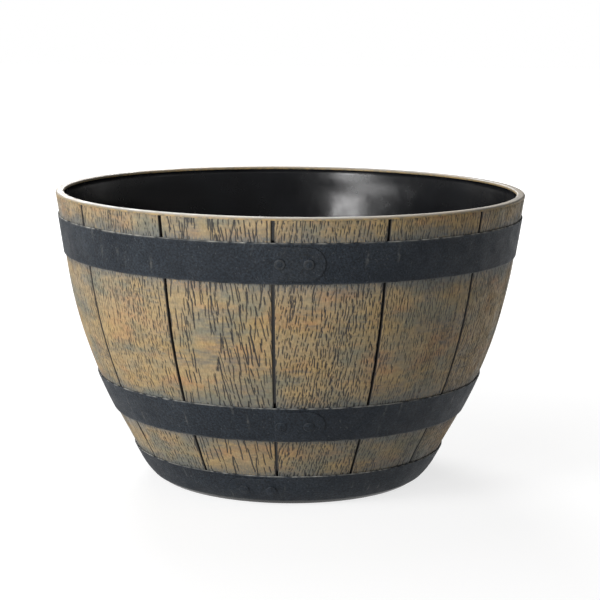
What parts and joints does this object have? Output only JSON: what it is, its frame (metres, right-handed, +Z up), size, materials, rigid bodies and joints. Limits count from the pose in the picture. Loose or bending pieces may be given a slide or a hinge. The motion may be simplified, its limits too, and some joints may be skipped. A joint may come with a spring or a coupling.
{
  "type": "planter",
  "caption": "Round half barrel planter: a black tub set with wood-effect staves, bound by dark riveted hoops, with a tan rim, a drained floor and a ring foot.",
  "frame": {"origin": "centre of the foot's ground face", "axes": "+Z up along the planter's axis, -Y to the front, where the hoops are lapped"},
  "size_m": [0.3999, 0.4, 0.2465],
  "materials": {
    "tub_black": "satin",
    "rim_tan": "satin",
    "stave_wood": "wood-effect relief, matt",
    "hoop_charcoal": "fine hammered, satin"
  },
  "bodies": {
    "root": {"hoop_bottom": "hoop_charcoal", "hoop_middle": "hoop_charcoal", "hoop_rivets": "hoop_charcoal", "hoop_top": "hoop_charcoal", "inner_tub": "tub_black", "rim_ring": "rim_tan", "stave_01": "stave_wood", "stave_02": "stave_wood", "stave_03": "stave_wood", "stave_04": "stave_wood", "stave_05": "stave_wood", "stave_06": "stave_wood", "stave_07": "stave_wood", "stave_08": "stave_wood", "stave_09": "stave_wood", "stave_10": "stave_wood", "stave_11": "stave_wood", "stave_12": "stave_wood", "stave_13": "stave_wood", "stave_14": "stave_wood"}
  },
  "joints": []
}
